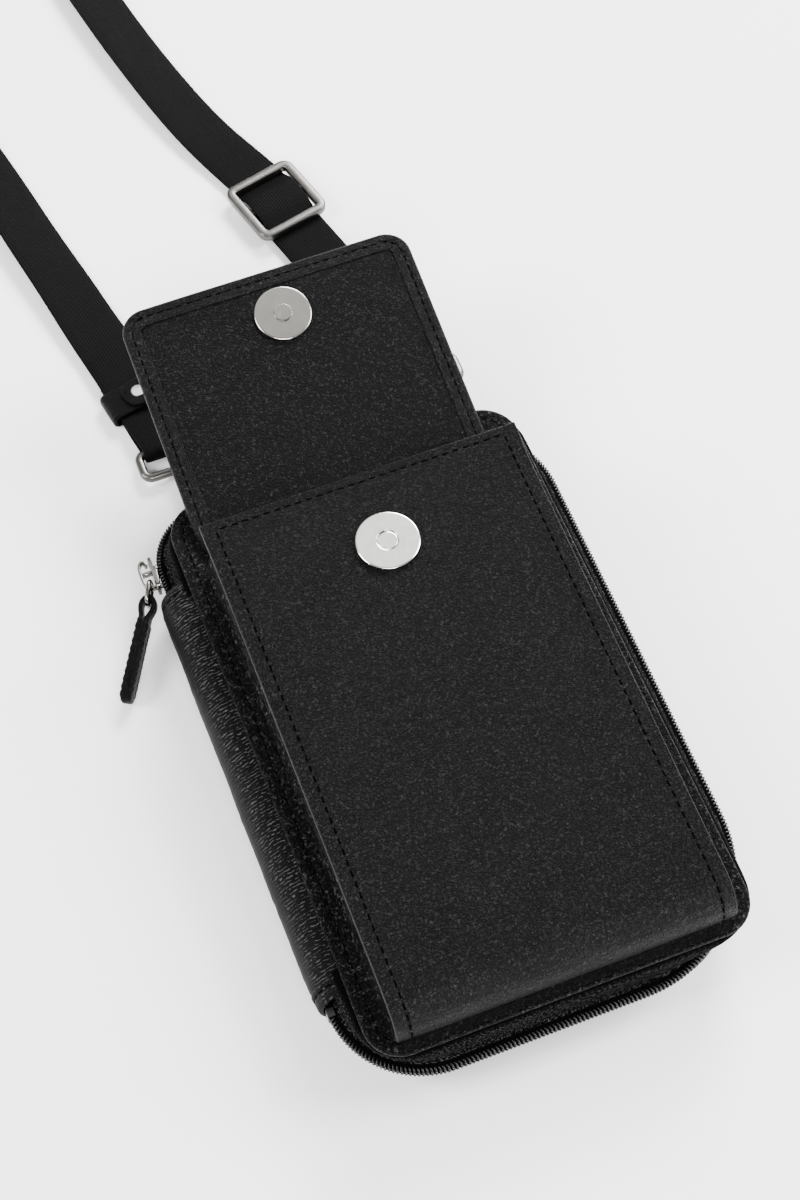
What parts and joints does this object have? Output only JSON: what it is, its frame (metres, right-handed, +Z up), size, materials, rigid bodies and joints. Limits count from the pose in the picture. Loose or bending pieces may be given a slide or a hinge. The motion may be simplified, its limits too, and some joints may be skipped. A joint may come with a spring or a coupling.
{
  "type": "phone pouch",
  "caption": "Crossbody phone pouch lying on its back: zip-round wallet, front phone pocket with open snap flap, zip pull, wire rings, keeper, slide adjuster and webbing strap.",
  "frame": {"origin": "middle of the back cover's resting face, on the table", "axes": "+X across the pouch to the side away from the spine, +Y along the pouch from its foot to its strap end, +Z up from the table through the front"},
  "size_m": [0.1653, 0.7771, 0.0493],
  "materials": {
    "leather_face": "pebbled, semi-matt",
    "leather_edge": "smooth grain, semi-matt",
    "leather_inside": "fine grain, matt",
    "board": "matt fibre board",
    "cloth": "plain weave, matt",
    "zip_tape": "herringbone tape, matt",
    "zip_coil": "glossy nylon",
    "nickel": "polished nickel",
    "satin_nickel": "satin nickel",
    "steel": "plain steel",
    "magnet": "dull, coated",
    "webbing": "close woven, slight sheen"
  },
  "bodies": {
    "back_half": {"back_cover": "leather_face", "back_board": "board", "back_lining": "cloth", "card_panel_tall": "leather_inside", "card_panel_middle": "leather_inside", "card_panel_short": "leather_inside", "back_zip_tape": "zip_tape", "back_zip_coil": "zip_coil", "zip_bottom_stop": "zip_coil", "spine": "leather_edge", "left_strap_tab": "leather_edge", "right_strap_tab": "leather_edge", "strap_double": "webbing", "strap_loop": "webbing"},
    "front_half": {"front_cover": "leather_face", "front_board": "board", "front_lining": "cloth", "note_pocket_panel": "leather_inside", "front_zip_tape": "zip_tape", "front_zip_coil": "zip_coil", "pocket_front": "leather_face", "pocket_lining": "cloth", "left_gusset": "leather_edge", "right_gusset": "leather_edge", "socket_shell": "nickel", "socket_magnet": "magnet", "socket_washer": "steel", "flap_root": "leather_edge"},
    "flap_middle": {"flap_bridge": "leather_face", "flap_bridge_lining": "leather_inside"},
    "flap_end": {"flap_lid": "leather_face", "flap_lid_lining": "leather_inside", "stud_disc": "nickel", "stud_washer": "steel"},
    "slider": {"zip_slider": "nickel"},
    "link": {"pull_link": "nickel"},
    "pull": {"pull_tab": "leather_edge"},
    "left_strap_end": {"left_ring": "satin_nickel", "strap_left_end": "webbing", "strap_keeper": "leather_edge", "keeper_rivet": "nickel"},
    "right_strap_end": {"right_ring": "satin_nickel", "strap_right_fold": "webbing"},
    "adjuster": {"adjuster_frame": "satin_nickel", "adjuster_bar": "satin_nickel", "strap_at_adjuster": "webbing"}
  },
  "joints": [
    {"name": "wallet_open", "type": "hinge", "parent": "back_half", "child": "front_half", "pos_m": [-0.0645, 0, 0.0125], "axis": [0, -1, 0], "range_deg": [0, 110], "deforming": ["spine"]},
    {"name": "flap_fold", "type": "hinge", "parent": "front_half", "child": "flap_middle", "pos_m": [0, 0.08, 0.028], "axis": [1, 0, 0], "range_deg": [0, 75]},
    {"name": "flap_tip", "type": "hinge", "parent": "flap_middle", "child": "flap_end", "pos_m": [0, 0.10353, 0.0343], "axis": [1, 0, 0], "range_deg": [0, 93.2]},
    {"name": "zip_slide", "type": "hinge", "parent": "back_half", "child": "slider", "pos_m": [-0.043, 0.08, 0.0125], "axis": [0, 0, -1], "range_deg": [0, 60], "deforming": ["back_zip_coil", "front_zip_coil"]},
    {"name": "link_swing", "type": "hinge", "parent": "slider", "child": "link", "pos_m": [-0.06614, 0.0791, 0.0125], "axis": [0.0987, 0.2116, -0.9724], "range_deg": [0, 75]},
    {"name": "pull_swing", "type": "hinge", "parent": "link", "child": "pull", "pos_m": [-0.06902, 0.07293, 0.01087], "axis": [-0.0987, -0.2116, 0.9724], "range_deg": [-30, 30]},
    {"name": "left_ring_swing", "type": "hinge", "parent": "back_half", "child": "left_strap_end", "pos_m": [-0.0435, 0.1225, 0.0031], "axis": [1, 0, 0], "range_deg": [0, 40], "deforming": ["strap_loop"]},
    {"name": "right_ring_swing", "type": "hinge", "parent": "back_half", "child": "right_strap_end", "pos_m": [0.042, 0.1225, 0.0031], "axis": [1, 0, 0], "range_deg": [0, 40], "deforming": ["strap_double"]},
    {"name": "adjuster_slide", "type": "slide", "parent": "back_half", "child": "adjuster", "axis": [-0.2385, 0.9711, 0], "range_m": [-0.03, 0.04], "deforming": ["strap_loop", "strap_double"]}
  ],
  "couplings": [
    {"joint": "flap_tip", "follows": "flap_fold", "ratio": 1.2413}
  ]
}
